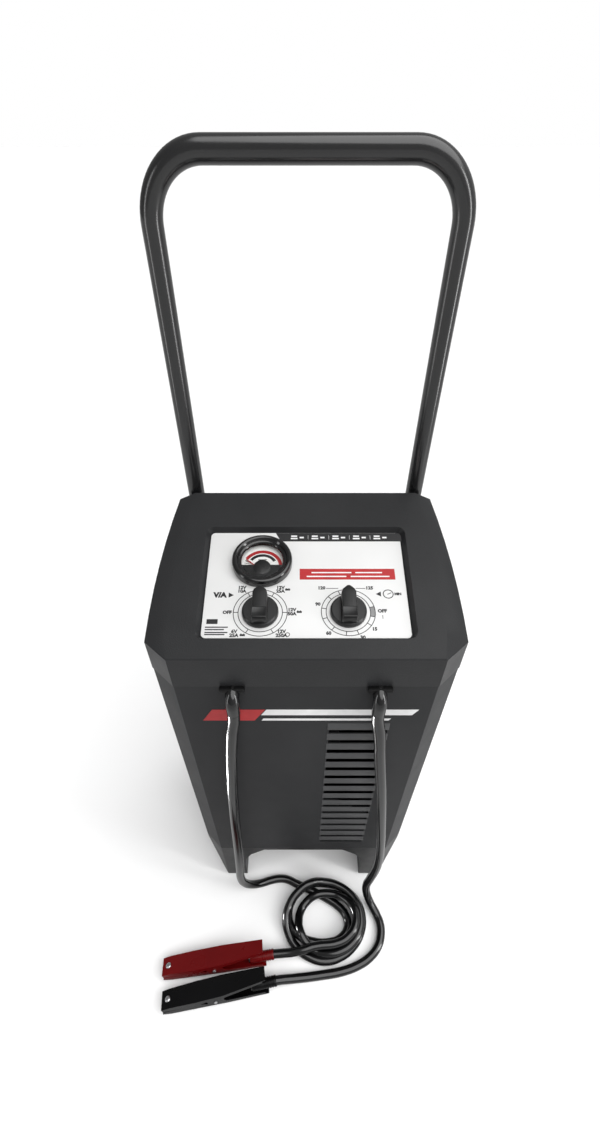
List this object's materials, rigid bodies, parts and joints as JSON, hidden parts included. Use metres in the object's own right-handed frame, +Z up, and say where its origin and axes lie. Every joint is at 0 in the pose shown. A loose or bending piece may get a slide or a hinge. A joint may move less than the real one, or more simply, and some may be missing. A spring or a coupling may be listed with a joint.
{
  "type": "car battery charger",
  "caption": "Wheeled tower battery charger with a sloped control panel, tube handle, two wheels and two leads ending in spring clamps.",
  "frame": {"origin": "on the floor, under the middle of the charger without its leads", "axes": "+Z up, -Y towards the front face with the leads, +X to the viewer's right when facing the front"},
  "size_m": [0.4478, 0.484, 1.0215],
  "materials": {
    "case": "satin powder coat",
    "cap": "fine moulded texture",
    "base": "fine moulded texture",
    "tube": "gloss black",
    "knob": "satin",
    "meter": "gloss",
    "label": "printed silver film",
    "dial": "printed",
    "needle": "matte",
    "lens": "clear",
    "fitting": "satin",
    "lead": "satin rubber jacket",
    "tyre": "matte",
    "hub": "satin",
    "rubber": "matte",
    "red_clamp": "dipped vinyl",
    "black_clamp": "dipped vinyl",
    "steel": "zinc plated",
    "jaw": "copper plated",
    "core": "laminated steel",
    "copper_winding": "enamelled",
    "aluminium": "plain"
  },
  "bodies": {
    "charger": {"top_cap": "cap", "control_label": "label", "front_shell": "case", "rear_panel": "case", "base_tray": "base", "left_foot": "rubber", "right_foot": "rubber", "mains_gland": "fitting", "transformer_core": "core", "primary_winding": "copper_winding", "secondary_winding": "aluminium", "transformer_bracket": "steel", "rectifier_plate": "aluminium", "rectifier_diode_1": "steel", "rectifier_diode_2": "steel", "circuit_breaker": "fitting", "selector_switch": "fitting", "timer_body": "fitting", "meter_housing": "fitting", "meter_bezel": "meter", "meter_dial": "dial", "meter_lens": "lens", "handle_tube": "tube", "handle_bolt_1": "steel", "handle_bolt_2": "steel", "handle_bolt_3": "steel", "handle_bolt_4": "steel", "axle": "steel", "left_axle_cap": "fitting", "right_axle_cap": "fitting", "positive_boot": "fitting", "negative_boot": "fitting", "positive_lead": "lead", "positive_coil": "lead", "positive_tail": "lead", "negative_lead": "lead", "red_clamp_lower_arm": "red_clamp", "red_clamp_lower_jaw": "jaw", "red_clamp_pin": "steel", "red_clamp_spring": "steel", "red_clamp_collar": "red_clamp", "black_clamp_lower_arm": "black_clamp", "black_clamp_lower_jaw": "jaw", "black_clamp_pin": "steel", "black_clamp_spring": "steel", "black_clamp_collar": "black_clamp"},
    "selector": {"selector_knob": "knob", "selector_shaft": "steel"},
    "timer": {"timer_knob": "knob", "timer_shaft": "steel"},
    "needle": {"meter_needle": "needle"},
    "left_wheel": {"left_hub": "hub", "left_tyre": "tyre"},
    "right_wheel": {"right_hub": "hub", "right_tyre": "tyre"},
    "red_jaw": {"red_clamp_upper_arm": "red_clamp", "red_clamp_upper_jaw": "jaw"},
    "black_jaw": {"black_clamp_upper_arm": "black_clamp", "black_clamp_upper_jaw": "jaw"}
  },
  "joints": [
    {"name": "selector_turn", "type": "hinge", "parent": "charger", "child": "selector", "pos_m": [-0.05, -0.07441, 0.66032], "axis": [0, -0.2504, 0.9682], "range_deg": [-210, 90]},
    {"name": "timer_turn", "type": "hinge", "parent": "charger", "child": "timer", "pos_m": [0.046, -0.07393, 0.66045], "axis": [0, -0.2504, 0.9682], "range_deg": [-20, 270]},
    {"name": "needle_swing", "type": "hinge", "parent": "charger", "child": "needle", "pos_m": [-0.05, -0.02116, 0.67409], "axis": [0, -0.2504, 0.9682], "range_deg": [-96, 0], "stiffness_Nm_per_rad": 0.0001, "springref_deg": 11.46},
    {"name": "left_wheel_roll", "type": "hinge", "parent": "charger", "child": "left_wheel", "pos_m": [-0.187, 0.0425, 0.09], "axis": [1, 0, 0], "continuous": true},
    {"name": "right_wheel_roll", "type": "hinge", "parent": "charger", "child": "right_wheel", "pos_m": [0.187, 0.0425, 0.09], "axis": [1, 0, 0], "continuous": true},
    {"name": "red_clamp_squeeze", "type": "hinge", "parent": "charger", "child": "red_jaw", "pos_m": [-0.15254, -0.2787, 0.0198], "axis": [-0.1036, 0.9649, -0.2412], "range_deg": [0, 14], "stiffness_Nm_per_rad": 1.2, "springref_deg": -34.38},
    {"name": "black_clamp_squeeze", "type": "hinge", "parent": "charger", "child": "black_jaw", "pos_m": [-0.14605, -0.32141, 0.0198], "axis": [-0.1489, 0.959, -0.2412], "range_deg": [0, 14], "stiffness_Nm_per_rad": 1.2, "springref_deg": -34.38}
  ]
}
